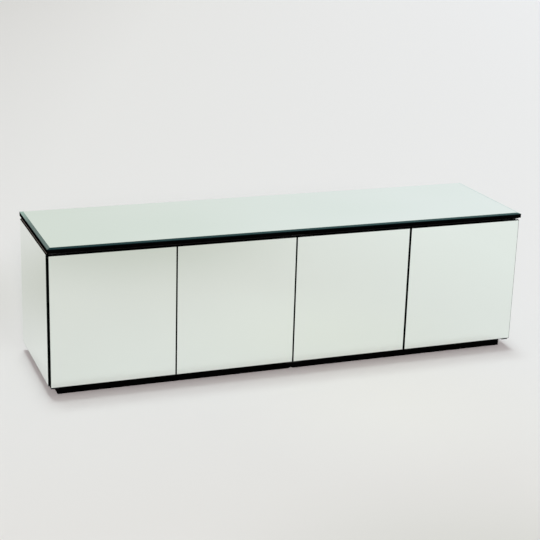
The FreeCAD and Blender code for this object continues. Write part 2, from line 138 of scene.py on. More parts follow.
def add_node(tree: NodeTree, kind: str, settings: dict | None = None, sockets: dict | None = None) -> Node:
    """Add one node to a tree with its settings and links.

    Args:
        tree: the node tree that gets the node.
        kind: the node's type name.
        settings: the node's own properties by name.
        sockets: for each input, by name or number, a value, a hex colour or an output to link from.

    Returns:
        The new node.
    """
    node = tree.nodes.new(kind)
    for name, value in (settings or {}).items():
        setattr(node, name, value)
    for key, value in (sockets or {}).items():
        if isinstance(value, NodeSocket):
            tree.links.new(value, node.inputs[key])
        else:
            node.inputs[key].default_value = linear(value) if isinstance(value, str) else value
    return node


@dataclass(frozen=True)
class Cloud:
    """Soft noise: a cloud's width, its finer octaves, and its pace along each axis (slow draws it out)."""

    size_mm: float
    octaves: float
    pace: Triple = (1.0, 1.0, 1.0)
    lowest: ClassVar[float] = 0.32
    highest: ClassVar[float] = 0.68

    def spread(self, tree: NodeTree, place: NodeSocket, start: float = 0.0, end: float = 1.0) -> NodeSocket:
        """Spread the noise over a range of values.

        Args:
            tree: the material's node tree.
            place: object coordinates in metres.
            start: the value where the noise is lowest.
            end: the value where it is highest.

        Returns:
            The socket that carries the values.
        """
        drawn = add_node(tree, "ShaderNodeMapping", sockets={"Vector": place, "Scale": self.pace})
        noise = add_node(tree, "ShaderNodeTexNoise", sockets={
            "Vector": drawn.outputs["Vector"], "Scale": 1.0 / (self.size_mm * MM), "Detail": self.octaves})
        return add_node(tree, "ShaderNodeMapRange", sockets={
            "Value": noise.outputs["Fac"], "From Min": self.lowest, "From Max": self.highest,
            "To Min": start, "To Max": end}).outputs["Result"]


@dataclass(frozen=True)
class Relief:
    """Raised texture: its full height, how strongly it shows, and its cloud, or None for the tone's own."""

    rise_mm: float
    strength: float
    cloud: Cloud | None = None


@dataclass(frozen=True)
class Finish:
    """A surface finish: one material, made once and shared by every piece that wears it.

    The tone's cloud goes between the two hues, and the sheen's cloud between the two values of roughness.
    """

    name: str
    slot: str
    hues: Hues
    tone: Cloud = Cloud(10.0, 2.0)
    sheen: Cloud = Cloud(10.0, 2.0)
    rough: Pair = (0.4, 0.6)
    relief: Relief | None = None
    metallic: float = 0.0
    ior: float = 1.5
    gloss: float = 0.5
    clear: float = 0.0
    made: ClassVar[dict[str, Material]] = {}

    def material(self) -> Material:
        """Return this finish's material, building its nodes at the first call.

        Returns:
            The Blender material named for this finish.
        """
        if self.name not in Finish.made:
            material = bpy.data.materials.new(self.name)
            material.use_nodes = True
            tree = material.node_tree
            tree.nodes.clear()
            place = add_node(tree, "ShaderNodeTexCoord").outputs["Object"]
            surface = add_node(tree, "ShaderNodeBsdfPrincipled", sockets=self.surface(tree, place))
            add_node(tree, "ShaderNodeOutputMaterial", sockets={"Surface": surface.outputs["BSDF"]})
            Finish.made[self.name] = material
        return Finish.made[self.name]

    def surface(self, tree: NodeTree, place: NodeSocket) -> dict[str, float | NodeSocket]:
        """Build the patterns of colour, roughness and relief.

        Args:
            tree: the material's node tree.
            place: object coordinates in metres.

        Returns:
            What the shader's sockets take, by their names.
        """
        sockets = {"Base Color": self.colour(tree, place), "Metallic": self.metallic, "IOR": self.ior,
                   "Roughness": self.sheen.spread(tree, place, *self.rough),
                   "Specular IOR Level": self.gloss, "Transmission Weight": self.clear}
        if self.relief:
            height = (self.relief.cloud or self.tone).spread(tree, place)
            bump = add_node(tree, "ShaderNodeBump", sockets={
                "Height": height, "Strength": self.relief.strength, "Distance": self.relief.rise_mm * MM})
            sockets["Normal"] = bump.outputs["Normal"]
        return sockets

    def colour(self, tree: NodeTree, place: NodeSocket) -> NodeSocket:
        """Return the colour at each place, mixed from the two hues."""
        return add_node(tree, "ShaderNodeMix", COLOURS, {
            FACTOR: self.share(tree, place), FIRST: self.hues[0], SECOND: self.hues[1]}).outputs[MIXED]

    def share(self, tree: NodeTree, place: NodeSocket) -> NodeSocket:
        """Return the second hue's share at each place."""
        return self.tone.spread(tree, place)


@dataclass(frozen=True)
class SilveredMirror(Finish):
    """Float glass silvered on its back: a clean, faintly green reflection with a trace of wiping marks."""

    hues: Hues = ("#F3F9F4", "#F1F7F2")
    tone: Cloud = Cloud(420.0, 1.0)
    sheen: Cloud = Cloud(70.0, 5.0)
    rough: Pair = (0.006, 0.03)
    # The rollers under the float line leave a slow wave in the glass.
    relief: Relief | None = Relief(0.05, 0.1, Cloud(190.0, 0.0))
    metallic: float = 1.0


@dataclass(frozen=True)
class GroundBevel(Finish):
    """Glass ground to a slope and polished: silver seen through thin green glass with faint wheel lines."""

    hues: Hues = ("#BFE2D8", "#B2D9D0")
    tone: Cloud = Cloud(160.0, 2.0)
    sheen: Cloud = Cloud(6.0, 3.0)
    rough: Pair = (0.02, 0.05)
    metallic: float = 1.0


@dataclass(frozen=True)
class PolishedEdge(Finish):
    """The cut edge of the glass, seamed and polished: deep bottle green, almost black, faintly streaked."""

    hues: Hues = ("#010403", "#050B09")
    tone: Cloud = Cloud(9.0, 4.0)
    sheen: Cloud = Cloud(3.0, 2.0)
    rough: Pair = (0.1, 0.22)
    relief: Relief | None = Relief(0.05, 0.05)
    ior: float = 1.52
    gloss: float = 0.0


@dataclass(frozen=True)
class BackingPaint(Finish):
    """The paint that seals the silver on a mirror's back: flat blue-grey, curtain-coated and mottled."""

    hues: Hues = ("#2E3438", "#3C4347")
    tone: Cloud = Cloud(25.0, 4.0)
    sheen: Cloud = Cloud(8.0, 2.0)
    rough: Pair = (0.55, 0.7)


@dataclass(frozen=True)
class BlackLacquer(Finish):
    """Board sprayed with matt black lacquer: the deepest black, with some orange peel and rubbed places."""

    hues: Hues = ("#010101", "#040404")
    tone: Cloud = Cloud(55.0, 5.0)
    sheen: Cloud = Cloud(55.0, 5.0)
    rough: Pair = (0.45, 0.6)
    # Sprayed lacquer pebbles at about 1 mm; it is drawn twice as coarse so that it shows.
    relief: Relief | None = Relief(0.05, 0.12, Cloud(2.2, 1.0))
    gloss: float = 0.0


LYING_GRAIN = Cloud(3.0, 5.0, (0.05, 1.0, 1.0))
STANDING_GRAIN = Cloud(3.0, 5.0, (1.0, 1.0, 0.05))


@dataclass(frozen=True)
class StainedBoard(Finish):
    """Board stained black and thinly lacquered: soft charcoal, the grain just showing, with a dull sheen."""

    hues: Hues = ("#1A1A1B", "#29292A")
    tone: Cloud = LYING_GRAIN
    sheen: Cloud = Cloud(60.0, 3.0)
    rough: Pair = (0.4, 0.55)
    relief: Relief | None = Relief(0.05, 0.15)
    gloss: float = 0.3


@dataclass(frozen=True)
class Coat:
    """A flat coat on all of a board that lies farther along a direction than a plane."""

    way: Triple
    plane_mm: float
    colour: str = "#020202"


@dataclass(frozen=True)
class CoatedBoard(StainedBoard):
    """Stained upright board with flat coats on its outer sides: deep black in front, primer at the ends."""

    tone: Cloud = STANDING_GRAIN
    coats: tuple[Coat, ...] = ()

    def surface(self, tree: NodeTree, place: NodeSocket) -> dict[str, float | NodeSocket]:
        """Stain the board, then lay each coat over what lies beyond its plane and take the sheen away there.

        Args:
            tree: the material's node tree.
            place: object coordinates in metres.

        Returns:
            What the shader's sockets take, by their names.
        """
        sockets = super().surface(tree, place)
        for coat in self.coats:
            reach = add_node(tree, "ShaderNodeVectorMath", {"operation": "DOT_PRODUCT"}, {
                0: place, 1: coat.way})
            beyond = add_node(tree, "ShaderNodeMath", {"operation": "GREATER_THAN"}, {
                0: reach.outputs["Value"], 1: coat.plane_mm * MM}).outputs[0]
            sockets["Base Color"] = add_node(tree, "ShaderNodeMix", COLOURS, {
                FACTOR: beyond, FIRST: sockets["Base Color"], SECOND: coat.colour}).outputs[MIXED]
            sockets["Specular IOR Level"] = add_node(tree, "ShaderNodeMapRange", sockets={
                "Value": beyond, "To Min": sockets["Specular IOR Level"], "To Max": 0.0}).outputs["Result"]
        return sockets


@dataclass(frozen=True)
class PaintedHardboard(Finish):
    """Hardboard with one thin black coat: dull, brownish where the long fibres drink the paint."""

    hues: Hues = ("#141312", "#24211E")
    tone: Cloud = Cloud(5.0, 6.0, (0.35, 1.0, 1.0))
    sheen: Cloud = Cloud(120.0, 3.0)
    rough: Pair = (0.55, 0.75)
    relief: Relief | None = Relief(0.12, 0.25)
    gloss: float = 0.3


@dataclass(frozen=True)
class BirchPlywood(Finish):
    """Birch plywood cut into tongues: thin plies in two honey tones with a dry sawn surface."""

    hues: Hues = ("#A9844F", "#D9BE8C")
    sheen: Cloud = Cloud(2.0, 3.0)
    rough: Pair = (0.6, 0.8)
    ply_mm: float = 1.5
    waviness: float = 1.5

    def share(self, tree: NodeTree, place: NodeSocket) -> NodeSocket:
        """Return the second hue's share in bands, one to each ply."""
        # The wave node turns 20 radians over a unit, and one turn is a dark and a light ply.
        pitch = math.pi / (20.0 * self.ply_mm * MM)
        return add_node(tree, "ShaderNodeTexWave", {"bands_direction": "Z"}, {
            "Vector": place, "Scale": pitch, "Distortion": self.waviness}).outputs["Fac"]


# The grain of rolled steel is about 0.2 mm wide; it is drawn coarser so that it shows.
ROLLED_GRAIN = Cloud(1.2, 4.0, (0.12, 1.0, 1.0))


@dataclass(frozen=True)
class ZincPlate(Finish):
    """Stamped steel, zinc plated: cool bright grey with a drawn grain and a faint cloud in its gloss."""

    hues: Hues = ("#A9ADB1", "#C6C9CC")
    tone: Cloud = Cloud(14.0, 3.0)
    sheen: Cloud = ROLLED_GRAIN
    rough: Pair = (0.24, 0.42)
    relief: Relief | None = Relief(0.0054, 0.1, ROLLED_GRAIN)
    metallic: float = 1.0


@dataclass(frozen=True)
class BlackPlate(Finish):
    """Stamped steel with a black passivated plating: dull charcoal, clouded, with a faint drawn grain."""

    hues: Hues = ("#0B0B0C", "#17171A")
    tone: Cloud = Cloud(12.0, 4.0)
    sheen: Cloud = ROLLED_GRAIN
    rough: Pair = (0.4, 0.6)
    relief: Relief | None = Relief(0.006, 0.1, ROLLED_GRAIN)
    gloss: float = 0.25


@dataclass(frozen=True)
class MouldedNylon(Finish):
    """Injection-moulded nylon: an even tone with a fine spark-eroded grain and a waxy, broken gloss."""

    hues: Hues = ("#101011", "#1B1B1C")
    tone: Cloud = Cloud(10.0, 2.0)
    sheen: Cloud = Cloud(5.0, 3.0)
    rough: Pair = (0.42, 0.58)
    relief: Relief | None = Relief(0.04, 0.2, Cloud(0.9, 2.0))
    ior: float = 1.53


@dataclass(frozen=True)
class SiliconeRubber(Finish):
    """Clear silicone cast into buds: a cloudy grey that lets light in, with a smeared, tacky gloss."""

    hues: Hues = ("#A7ABAA", "#C4C8C6")
    tone: Cloud = Cloud(2.5, 3.0)
    sheen: Cloud = Cloud(1.5, 2.0)
    rough: Pair = (0.3, 0.5)
    ior: float = 1.41
    clear: float = 0.35


@dataclass(frozen=True)
class Grade:
    """A steady change of the floor's colour along a direction, between two distances from the middle."""

    way: Triple
    start: float
    end: float

    def rise(self, tree: NodeTree, place: NodeSocket) -> NodeSocket:
        """Return a value that rises from nought to one between the two distances."""
        along = add_node(tree, "ShaderNodeVectorMath", {"operation": "DOT_PRODUCT"}, {0: place, 1: self.way})
        return add_node(tree, "ShaderNodeMapRange", sockets={
            "Value": along.outputs["Value"], "From Min": self.start, "From Max": self.end}).outputs["Result"]


@dataclass(frozen=True)
class PaintedLightSpot:
    """A soft round spot on the floor in another colour: darker for painted shade, lighter for a painted pool
    of light.
    """

    centre: Triple
    radius: float
    colour: str

    def rise(self, tree: NodeTree, place: NodeSocket) -> NodeSocket:
        """Return a value that rises softly from nought at the rim to one at the centre."""
        away = add_node(tree, "ShaderNodeVectorMath", {"operation": "DISTANCE"}, {0: place, 1: self.centre})
        return add_node(tree, "ShaderNodeMapRange", SOFT_RAMP, {
            "Value": away.outputs["Value"], "From Min": self.radius, "From Max": 0.0}).outputs["Result"]


@dataclass(frozen=True)
class StudioPaper(Finish):
    """The studio's seamless paper: warm pale grey, graded in painted light, with spots of painted shade and
    painted light.
    """

    # Painted light: the paper runs from the darker first hue at the far left, through the middle colour, to
    # the lighter second hue at the right.
    hues: Hues = ("#D8D7D4", "#EEEFF0")
    sheen: Cloud = Cloud(40.0, 3.0)
    rough: Pair = (0.85, 0.95)
    gloss: float = 0.1
    middle: str = "#E6E6E4"
    front_left: str = "#E4E3E0"
    front_right: str = "#EEF0EF"
    # Painted light: these grades lighten the paper to the right. Towards the front they give it the front
    # colours, darker at the left and lighter at the right.
    to_middle: Grade = Grade(ACROSS_VIEW, -3.3, -1.3)
    to_right: Grade = Grade(ACROSS_VIEW, -1.3, 3.3)
    across_front: Grade = Grade(RIGHTWARD, 0.3, 1.5)
    to_front: Grade = Grade(FRONTWARD, 0.2, 1.2)
    # Painted shade and light: the first spot darkens the paper in front, towards the camera, and the second
    # darkens the paper at the back left, where the mirrors reflect them. The third is a painted pool of light
    # just in front of the sideboard.
    painted_light_spots: tuple[PaintedLightSpot, ...] = (PaintedLightSpot((-0.15, -2.15, 0.0), 1.08, "#CECFC8"),
                               PaintedLightSpot((-1.45, 0.98, 0.0), 1.03, "#CECFC8"),
                               PaintedLightSpot((0.25, -0.6, 0.0), 0.75, "#EAEAE6"))

    def colour(self, tree: NodeTree, place: NodeSocket) -> NodeSocket:
        """Grade the paper across the room and to the front in painted light, then lay its spots of painted
        shade and painted light.

        Args:
            tree: the material's node tree.
            place: object coordinates in metres.

        Returns:
            The socket that carries the colour.
        """
        front = add_node(tree, "ShaderNodeMix", COLOURS, {
            FACTOR: self.across_front.rise(tree, place), FIRST: self.front_left,
            SECOND: self.front_right}).outputs[MIXED]
        steps = [(self.to_middle, self.middle), (self.to_right, self.hues[1]), (self.to_front, front)]
        steps += [(painted_spot, painted_spot.colour) for painted_spot in self.painted_light_spots]
        tone = self.hues[0]
        for step, colour in steps:
            tone = add_node(tree, "ShaderNodeMix", COLOURS, {
                FACTOR: step.rise(tree, place), FIRST: tone, SECOND: colour}).outputs[MIXED]
        return tone


DOOR_MIRROR = SilveredMirror("silvered_float_glass", "mirror")
TOP_MIRROR = SilveredMirror("silvered_float_glass_top", "mirror", ("#F0F9F5", "#EDF7F2"))
BEVEL = GroundBevel("ground_polished_bevel", "mirror")
GLASS_EDGE = PolishedEdge("sealed_glass_edge", "mirror")
END_EDGE = PolishedEdge("polished_glass_edge", "mirror", gloss=0.5)
TOP_EDGE = PolishedEdge("deep_green_glass_edge", "mirror", ("#050C0E", "#0B1619"))
BACKING = BackingPaint("mirror_backing_paint", "mirror")
LACQUER = BlackLacquer("black_matt_lacquer", "black_lacquer")
STAINED = StainedBoard("black_stained_board", "black_lacquer")
STAINED_UPRIGHT = StainedBoard("black_stained_upright", "black_lacquer", tone=STANDING_GRAIN)
DOOR_BOARD = CoatedBoard("black_door_board", "black_lacquer", coats=(Coat(FRONTWARD, 220.3),))
END_BOARD = CoatedBoard("black_end_board", "black_lacquer", coats=(
    Coat(RIGHTWARD, 909.5, PRIMER), Coat(LEFTWARD, 909.5, PRIMER), Coat(FRONTWARD, 215.5)))
HARDBOARD = PaintedHardboard("black_painted_hardboard", "black_hardboard")
PLYWOOD = BirchPlywood("birch_plywood", "plywood")
ZINC = ZincPlate("zinc_plated_steel", "zinc_steel")
BLACK_STEEL = BlackPlate("black_plated_steel", "black_steel")
BLACK_NYLON = MouldedNylon("black_moulded_nylon", "black_nylon")
PALE_NYLON = MouldedNylon("natural_moulded_nylon", "pale_nylon", ("#C9C5B9", "#DAD7CC"))
SILICONE = SiliconeRubber("clear_silicone_rubber", "soft_rubber")
PAPER = StudioPaper("seamless_studio_paper", "floor")


def cuboid(bm: BMesh, low: Sequence[float], high: Sequence[float]) -> list[BMEdge]:
    """Add a box between two corners, to be worked on further.

    Args:
        bm: the mesh being built.
        low: the box's lowest corner.
        high: its highest corner.

    Returns:
        The box's edges.
    """
    low, high = Vector(low), Vector(high)
    place = Matrix.LocRotScale((low + high) / 2.0, None, high - low)
    made = bmesh.ops.create_cube(bm, size=1.0, matrix=place)
    return list(dict.fromkeys(edge for vert in made["verts"] for edge in vert.link_edges))


def block(bm: BMesh, low: Sequence[float], high: Sequence[float], ease: float, segments: int = 2) -> None:
    """Add a block with all its edges eased.

    Args:
        bm: the mesh being built.
        low: the block's lowest corner.
        high: its highest corner.
        ease: the radius of its edges.
        segments: how many facets round each edge has.
    """
    edges = cuboid(bm, low, high)
    bmesh.ops.bevel(bm, geom=edges, offset=ease, segments=segments, profile=0.5, affect="EDGES", material=-1)


def plate(bm: BMesh, low: Sequence[float], high: Sequence[float], axis: int, corner: float,
          ease: float) -> None:
    """Add a stamped plate: a thin block with rounded corners and slightly rounded rims.

    Args:
        bm: the mesh being built.
        low: the plate's lowest corner.
        high: its highest corner.
        axis: the number of the axis through its thickness.
        corner: the radius of its corners.
        ease: the radius of its rims.
    """
    uprights = [edge for edge in cuboid(bm, low, high)
                if abs((edge.verts[0].co - edge.verts[1].co)[axis]) > WELD]
    rounded = bmesh.ops.bevel(bm, geom=uprights, offset=corner, segments=5, profile=0.5, affect="EDGES",
                              material=-1)
    bm.normal_update()
    walls = dict.fromkeys(edge for wall in rounded["faces"] for edge in wall.edges)
    caps = [face for edge in walls for face in edge.link_faces if abs(face.normal[axis]) > 0.99]
    rims = list(dict.fromkeys(edge for face in caps for edge in face.edges))
    bmesh.ops.bevel(bm, geom=rims, offset=ease, segments=2, profile=0.5, affect="EDGES", material=-1)


def join(bm: BMesh, own: BMesh, place: Matrix) -> None:
    """Close a small shape's seams, turn its faces outward and add it to a mesh.

    Args:
        bm: the mesh being built.
        own: the small shape in its own axes; it is freed.
        place: where those axes lie in the frame.
    """
    bmesh.ops.remove_doubles(own, verts=own.verts, dist=WELD)
    bmesh.ops.recalc_face_normals(own, faces=own.faces)
    bmesh.ops.transform(own, matrix=place, verts=own.verts)
    shape = bpy.data.meshes.new("small_shape")
    own.to_mesh(shape)
    own.free()
    bm.from_mesh(shape)
    bpy.data.meshes.remove(shape)


def turned(bm: BMesh, profile: Iterable[Pair], place: Matrix, facets: int = 28) -> None:
    """Add a turned shape by spinning a profile about its own Z axis.

    Args:
        bm: the mesh being built.
        profile: radius and height of each point, starting and ending on the axis or closing on itself.
        place: where the shape's own axes lie in the frame.
        facets: how many facets go round.
    """
    own = bmesh.new()
    verts = [own.verts.new((radius, 0.0, height)) for radius, height in profile]
    edges = [own.edges.new(pair) for pair in zip(verts, verts[1:])]
    bmesh.ops.spin(own, geom=verts + edges, cent=(0, 0, 0), axis=(0, 0, 1), dvec=(0, 0, 0),
                   angle=2.0 * math.pi, steps=facets, use_merge=True)
    join(bm, own, place)


def seat(point: Sequence[float], outward: Sequence[float]) -> Matrix:
    """Return the place of a small piece that sits at a point and looks outward."""
    return Matrix.Translation(point) @ Vector(outward).to_track_quat("Z", "Y").to_matrix().to_4x4()


def make_piece(name: str, bm: BMesh, body: str, finishes: Sequence[Finish], stands_for: Sequence[str] = (),
               smooth: float | None = 40.0) -> None:
    """Turn a finished bmesh into a piece that rides on a body.

    Args:
        name: the piece's name.
        bm: its mesh in the frame's axes; it is freed.
        body: the CAD body that carries it.
        finishes: its material slots in order.
        stands_for: the CAD nodes it replaces.
        smooth: the angle in degrees below which edges are shaded smooth, or None for flat faces.
    """
    mesh = bpy.data.meshes.new(name)
    bm.to_mesh(mesh)
    bm.free()
    if smooth is not None:
        mesh.shade_smooth()
        mesh.set_sharp_from_angle(angle=math.radians(smooth))
    for finish in finishes:
        mesh.materials.append(finish.material())
    piece = bpy.data.objects.new(name, mesh)
    bpy.context.scene.collection.objects.link(piece)
    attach(piece, body)
    if stands_for:
        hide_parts(*stands_for)
    log.info("%s: %d faces on %s", name, len(mesh.polygons), body)


def ease_board(node: str, ease: float, finish: Finish) -> None:
    """Put a board with eased edges in the place of one of the carcase's nodes.

    Args:
        node: the CAD node.
        ease: the radius of the board's edges.
        finish: the board's finish.
    """
    bm = bmesh.new()
    block(bm, *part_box(node), ease)
    make_piece(node + "_eased", bm, "carcase", (finish,), (node,))


def dress(node: Object, finish: Finish) -> None:
    """Give a carried-over CAD node its finish.

    Args:
        node: the node's object.
        finish: its new finish.
    """
    node.data.materials.clear()
    node.data.materials.append(finish.material())
    log.info("%s: dressed in %s", node.name, finish.name)


@dataclass
class MirrorPane:
    """A pane of mirror glass with a sloped rim on its show face."""

    node: str
    body: str
    facing: Facing
    face: Finish = DOOR_MIRROR
    slope: Finish = GLASS_EDGE
    edge: Finish = GLASS_EDGE
    across: float = 1.5 * MM
    down: float = 0.6 * MM

    def build(self) -> None:
        """Make the pane from its node's box: a slab whose show face is inset and raised into a sloped rim."""
        low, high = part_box(self.node)
        turn = self.facing.turn()
        width, height, thick = (abs(part) for part in turn.to_3x3().inverted() @ (high - low))
        corner = Vector((width, height, thick)) / 2.0
        bm = bmesh.new()
        cuboid(bm, -corner, corner - Vector((0.0, 0.0, self.down)))
        bm.normal_update()
        show = [face for face in bm.faces if face.normal.z > PanePart.FACE.value]
        bmesh.ops.inset_region(bm, faces=show, thickness=self.across, depth=self.down, use_even_offset=True)
        bm.normal_update()
        for face in bm.faces:
            face.material_index = next(i for i, part in enumerate(PanePart) if face.normal.z > part.value)
        bmesh.ops.transform(bm, matrix=Matrix.Translation((low + high) / 2.0) @ turn, verts=bm.verts)
        finishes = (self.face, self.slope, self.edge, BACKING)
        make_piece(self.node + "_pane", bm, self.body, finishes, (self.node,), smooth=None)


@dataclass
class ScrewSet:
    """Cross-head screws of one size on one body; what follows the seats is in parts of the head's radius."""

    name: str
    body: str
    head: Head
    radius: float
    finish: Finish = ZINC
    facets: int = 20
    seats: list[Matrix] = field(default_factory=list)
    recess_half: float = 0.55
    recess_depth: float = 0.4
    recess_floor: float = -0.05
    recess_taper: float = 0.7
    shoulder: float = 0.86
    shoulder_drop: float = 0.45
    skirt: float = 0.1

    def add(self, point: Sequence[float], outward: Sequence[float]) -> None:
        """Put a screw at a point, its head looking outward."""
        self.seats.append(seat(point, outward))

    def build(self) -> None:
        """Make all the heads as one piece."""
        bm = bmesh.new()
        for place in self.seats:
            self.build_head(bm, place)
        make_piece(self.name, bm, self.body, (self.finish,), smooth=35.0)

    def build_head(self, bm: BMesh, place: Matrix) -> None:
        """Add one head: a crown with a sunk cross, bridged to a round shoulder, with a rim and a closed base.

        Args:
            bm: the mesh being built.
            place: the head's seat, with Z looking out of the surface.
        """
        crown, rim = (part * self.radius for part in self.head.value)
        half = self.recess_half * self.radius
        own = bmesh.new()
        bmesh.ops.create_grid(own, x_segments=5, y_segments=5, size=half)
        cross = []
        for face in own.faces:
            near, far = sorted(abs(part) / half for part in face.calc_center_median()[:2])
            # The middle row and column of the five make the cross, without the cells at their ends.
            if near < 0.1 and far < 0.7:
                cross.append(face)
        sunk = bmesh.ops.extrude_face_region(own, geom=cross)
        floor = [item for item in sunk["geom"] if isinstance(item, BMVert)]
        bmesh.ops.delete(own, geom=cross, context="FACES")
        depth = min(self.recess_depth * self.radius, crown - self.recess_floor * self.radius)
        bmesh.ops.translate(own, verts=floor, vec=(0.0, 0.0, -depth))
        bmesh.ops.scale(own, vec=(self.recess_taper, self.recess_taper, 1.0), verts=floor)
        bmesh.ops.create_circle(own, segments=self.facets, radius=self.shoulder * self.radius, cap_ends=False)
        ring = [vert for vert in own.verts if not vert.link_faces]
        bmesh.ops.translate(own, verts=ring, vec=(0.0, 0.0, (rim - crown) * self.shoulder_drop))
        bmesh.ops.bridge_loops(own, edges=[edge for edge in own.edges if len(edge.link_faces) < 2])
        to_rim = (rim - crown) * (1.0 - self.shoulder_drop)
        for spread, drop in ((1.0 / self.shoulder, to_rim), (1.0, -rim - self.skirt * self.radius)):
            grown = bmesh.ops.extrude_edge_only(own, edges=[edge for edge in own.edges if edge.is_boundary])
            fresh = [item for item in grown["geom"] if isinstance(item, BMVert)]
            bmesh.ops.scale(own, vec=(spread, spread, 1.0), verts=fresh)
            bmesh.ops.translate(own, verts=fresh, vec=(0.0, 0.0, drop))
        bmesh.ops.holes_fill(own, edges=[edge for edge in own.edges if edge.is_boundary], sides=0)
        join(bm, own, place @ Matrix.Translation((0.0, 0.0, crown)))


@dataclass
class MirrorTop:
    """The mirrored top: a black board with a thick bevelled mirror laid on it."""

    bevel_across: float = 12.0 * MM
    bevel_down: float = 3.0 * MM
    ease: float = 0.6 * MM

    def build(self) -> None:
        """Make the board with eased edges and the bevelled pane on it."""
        ease_board("top_board", self.ease, LACQUER)
        MirrorPane("top_mirror", "carcase", Facing.UP, TOP_MIRROR, BEVEL, TOP_EDGE,
                   self.bevel_across, self.bevel_down).build()


@dataclass
class Carcase:
    """The black box of the sideboard with its mirrored ends, partition, shelves and back."""

    ease: float = 0.6 * MM
    boards: tuple[str, ...] = ("carcase_top", "carcase_bottom", "centre_partition", "left_shelf",
                               "right_shelf")
    shelf_gap: float = 1.0 * MM
    pin_radius: float = 2.5 * MM
    pin_tip: float = 0.6 * MM
    pin_reach: float = 9.0 * MM
    pin_rows_mm: tuple[float, ...] = (-146.0, 173.0)
    pin_facets: int = 20
    collar_radius: float = 4.2 * MM
    collar_thick: float = 0.8 * MM
    back_screw_radius: float = 3.4 * MM
    rail_screws_mm: Grid = ((-594.0, -297.0, 297.0, 594.0), (44.5, 521.5))
    upright_screws_mm: Grid = ((-895.5, 0.0, 895.5), (200.3, 365.7))
    top_screw_radius: float = 3.8 * MM
    top_screws_mm: Grid = ((-791.0, -109.5, 109.5, 791.0), (-116.0, 143.0))

    def build(self) -> None:
        """Make the boards that show eased edges, the end mirrors, the shelf pins and the screws."""
        for name in self.boards:
            ease_board(name, self.ease, STAINED_UPRIGHT if name == "centre_partition" else STAINED)
        MirrorPane("left_end_mirror", "carcase", Facing.LEFT, edge=END_EDGE).build()
        MirrorPane("right_end_mirror", "carcase", Facing.RIGHT, edge=END_EDGE).build()
        self.build_pins()
        self.build_screws()

    def build_pins(self) -> None:
        """Make the shelf pins: a turned pin with a collar against the board and a rounded end."""
        low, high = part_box("shelf_pins")
        height = (low.z + high.z) / 2.0
        end_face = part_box("left_shelf")[0].x - self.shelf_gap
        middle_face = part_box("centre_partition")[1].x
        radius, reach = self.pin_radius, self.pin_reach
        profile = ((0.0, 0.0), (self.collar_radius, 0.0), (self.collar_radius, self.collar_thick),
                   (radius, self.collar_thick), (radius, reach - self.pin_tip),
                   (radius - self.pin_tip, reach), (0.0, reach))
        bm = bmesh.new()
        for row, face, sign in product(self.pin_rows_mm, (end_face, middle_face), (1, -1)):
            turned(bm, profile, seat((sign * face, row * MM, height), (sign, 0, 0)), self.pin_facets)
        make_piece("shelf_pins_collared", bm, "carcase", (ZINC,), ("shelf_pins",), smooth=30.0)

    def build_screws(self) -> None:
        """Make the pan heads on the back panel and under the top."""
        back = ScrewSet("back_panel_screws", "carcase", Head.PAN, self.back_screw_radius)
        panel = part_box("back_panel")[1].y
        for x, z in (*product(*self.rail_screws_mm), *product(*self.upright_screws_mm)):
            back.add((x * MM, panel, z * MM), (0, 1, 0))
        back.build()
        top = ScrewSet("top_board_screws", "carcase", Head.PAN, self.top_screw_radius)
        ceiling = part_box("carcase_top")[0].z
        for x, y in product(*self.top_screws_mm):
            top.add((x * MM, y * MM, ceiling), (0, 0, -1))
        top.build()

    def dress(self, nodes: dict[str, Object]) -> None:
        """Give the carcase's carried-over nodes their finishes.

        Args:
            nodes: the frame's nodes by name.
        """
        for name, finish in (("left_end_board", END_BOARD), ("right_end_board", END_BOARD),
                             ("back_panel", HARDBOARD), ("carcase_tongues", PLYWOOD)):
            dress(nodes[name], finish)


@dataclass
class Plinth:
    """The recessed black plinth on its nylon glides, whose profile is in parts of their radius and height."""

    glides_mm: Grid = ((-867.5, -70.0, 70.0, 867.5), (-207.0, 199.0))
    glide_radius: float = 8.0 * MM
    glide: tuple[Pair, ...] = ((0.0, 0.0), (0.7, 0.0), (0.82, 0.12), (0.93, 0.4), (1.0, 0.75), (1.0, 1.0),
                               (0.0, 1.0))

    def build(self) -> None:
        """Make the glides as turned feet with a rounded sole."""
        low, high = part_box("plinth_glides")
        profile = [(across * self.glide_radius, up * (high.z - low.z)) for across, up in self.glide]
        bm = bmesh.new()
        for x, y in product(*self.glides_mm):
            turned(bm, profile, Matrix.Translation((x * MM, y * MM, low.z)))
        make_piece("plinth_glides_turned", bm, "carcase", (BLACK_NYLON,), ("plinth_glides",))

    def dress(self, nodes: dict[str, Object]) -> None:
        """Give the rails and the brace their lacquer."""
        for part in ("front_left", "front_right", "back_rail", "left_rail", "right_rail", "centre_brace"):
            dress(nodes["plinth_" + part], LACQUER)


